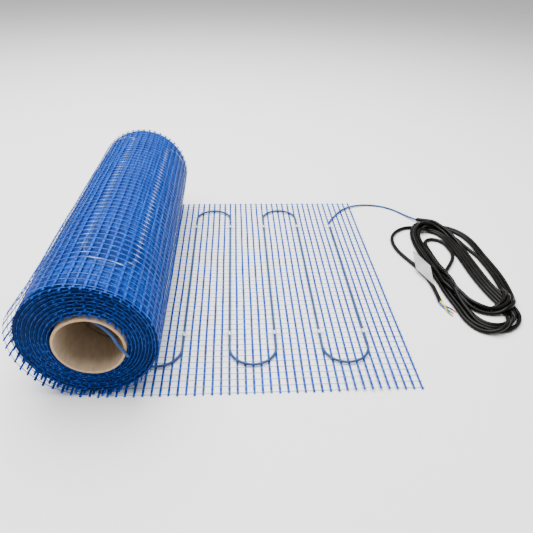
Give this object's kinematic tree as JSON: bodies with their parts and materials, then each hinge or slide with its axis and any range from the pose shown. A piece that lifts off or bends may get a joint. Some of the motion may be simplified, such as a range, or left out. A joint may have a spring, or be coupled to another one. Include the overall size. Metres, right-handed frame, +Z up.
{
  "type": "underfloor heating mat",
  "caption": "Electric floor heating mat: blue plastic mesh with a heating cable in bends, wound on a cardboard core with one end rolled out flat, and a black connecting flex in a loose coil.",
  "frame": {"origin": "on the floor, under the middle of the roll and the flat mesh together", "axes": "+Y along the roll's axis, away from the end that shows the core; +X from the roll towards the flat mesh and the flex; +Z up"},
  "size_m": [0.6948, 0.5, 0.1671],
  "materials": {
    "mesh_plastic": "blue coated mesh, slightly glossy",
    "core_cardboard": "spiral wound brown board",
    "cable_jacket": "slate blue jacket, satin",
    "tape_film": "white translucent tape",
    "flex_jacket": "black, satin",
    "blue_insulation": "blue",
    "earth_insulation": "green and yellow stripes",
    "brown_insulation": "brown",
    "copper": "bare stranded copper",
    "label_paper": "blank white label"
  },
  "bodies": {
    "root": {"cardboard_core": "core_cardboard", "mesh_roll": "mesh_plastic", "mesh_panel_1": "mesh_plastic", "mesh_panel_2": "mesh_plastic", "mesh_panel_3": "mesh_plastic", "mesh_panel_4": "mesh_plastic", "heating_cable": "cable_jacket", "heating_cable_end": "cable_jacket", "fixing_tape_1": "tape_film", "fixing_tape_2": "tape_film", "fixing_tape_3": "tape_film", "fixing_tape_4": "tape_film", "fixing_tape_5": "tape_film", "fixing_tape_6": "tape_film", "fixing_tape_7": "tape_film", "fixing_tape_8": "tape_film", "fixing_tape_9": "tape_film", "fixing_tape_10": "tape_film", "fixing_tape_11": "tape_film", "fixing_tape_12": "tape_film", "cable_tail": "cable_jacket", "splice_sleeve": "flex_jacket", "cold_lead_coil": "flex_jacket", "cold_lead_end": "flex_jacket", "blue_wire": "blue_insulation", "earth_wire": "earth_insulation", "brown_wire": "brown_insulation", "blue_copper": "copper", "earth_copper": "copper", "brown_copper": "copper", "label_tag": "label_paper"}
  },
  "joints": []
}
